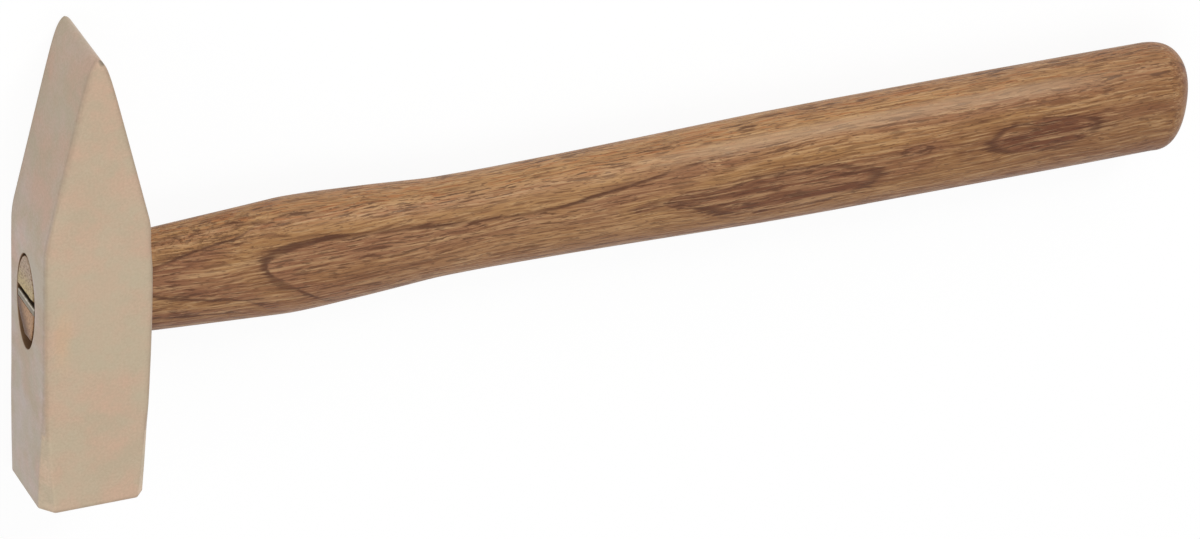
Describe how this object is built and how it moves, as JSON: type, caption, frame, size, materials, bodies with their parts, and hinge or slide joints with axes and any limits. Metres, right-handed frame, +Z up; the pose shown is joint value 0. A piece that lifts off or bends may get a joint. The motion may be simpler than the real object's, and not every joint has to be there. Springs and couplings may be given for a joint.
{
  "type": "bench hammer",
  "caption": "Cross-peen bench hammer: square-faced bronze head with a wedge-shaped peen, on an oval hardwood handle held in the eye by a flat wedge.",
  "frame": {"origin": "on the plane of the lower cheek, straight below the middle of the head's eye", "axes": "+X along the handle to the grip end, +Y from the striking face towards the peen, +Z up through the head's thickness, square to the cheeks"},
  "size_m": [0.3201, 0.1274, 0.0244],
  "materials": {
    "bronze": "satin",
    "hardwood": "satin",
    "wedge_steel": "satin"
  },
  "bodies": {
    "root": {"head": "bronze", "handle": "hardwood", "wedge": "wedge_steel"}
  },
  "joints": []
}
